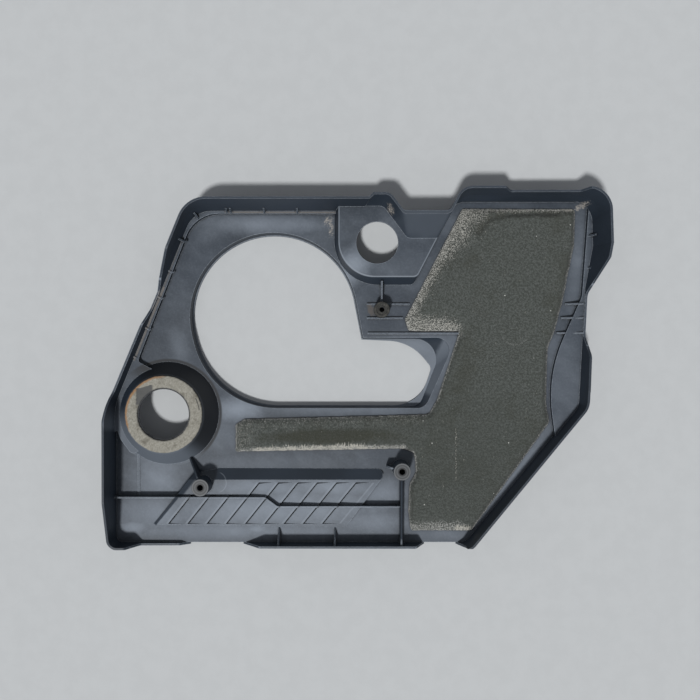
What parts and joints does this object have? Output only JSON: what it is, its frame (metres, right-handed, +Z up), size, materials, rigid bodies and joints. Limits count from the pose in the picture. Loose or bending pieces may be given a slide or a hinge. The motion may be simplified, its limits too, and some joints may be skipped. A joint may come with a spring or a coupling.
{
  "type": "engine cover",
  "caption": "Moulded plastic engine cover lying inside up: scalloped skirt, lobed through opening, conical filler collar with seal ring, louvred panel, mounting posts and bonded foam pad.",
  "frame": {"origin": "middle of the bounding box at ground level, under the rim of the opening on which the cover lies", "axes": "+X along the length, away from the filler collar; +Y towards the plateau; +Z up, out of the inside of the cover"},
  "size_m": [0.5605, 0.4032, 0.058],
  "materials": {
    "shell_plastic": "fine moulded grain, slightly satin, dusty",
    "pad_foam": "matt foam with pressed, paler edges",
    "ring_fibre": "matt fibrous, stained",
    "bush_rubber": "matt black rubber"
  },
  "bodies": {
    "root": {"cover_shell": "shell_plastic", "insulation_pad": "pad_foam", "filler_seal_ring": "ring_fibre", "rubber_bush": "bush_rubber"}
  },
  "joints": []
}
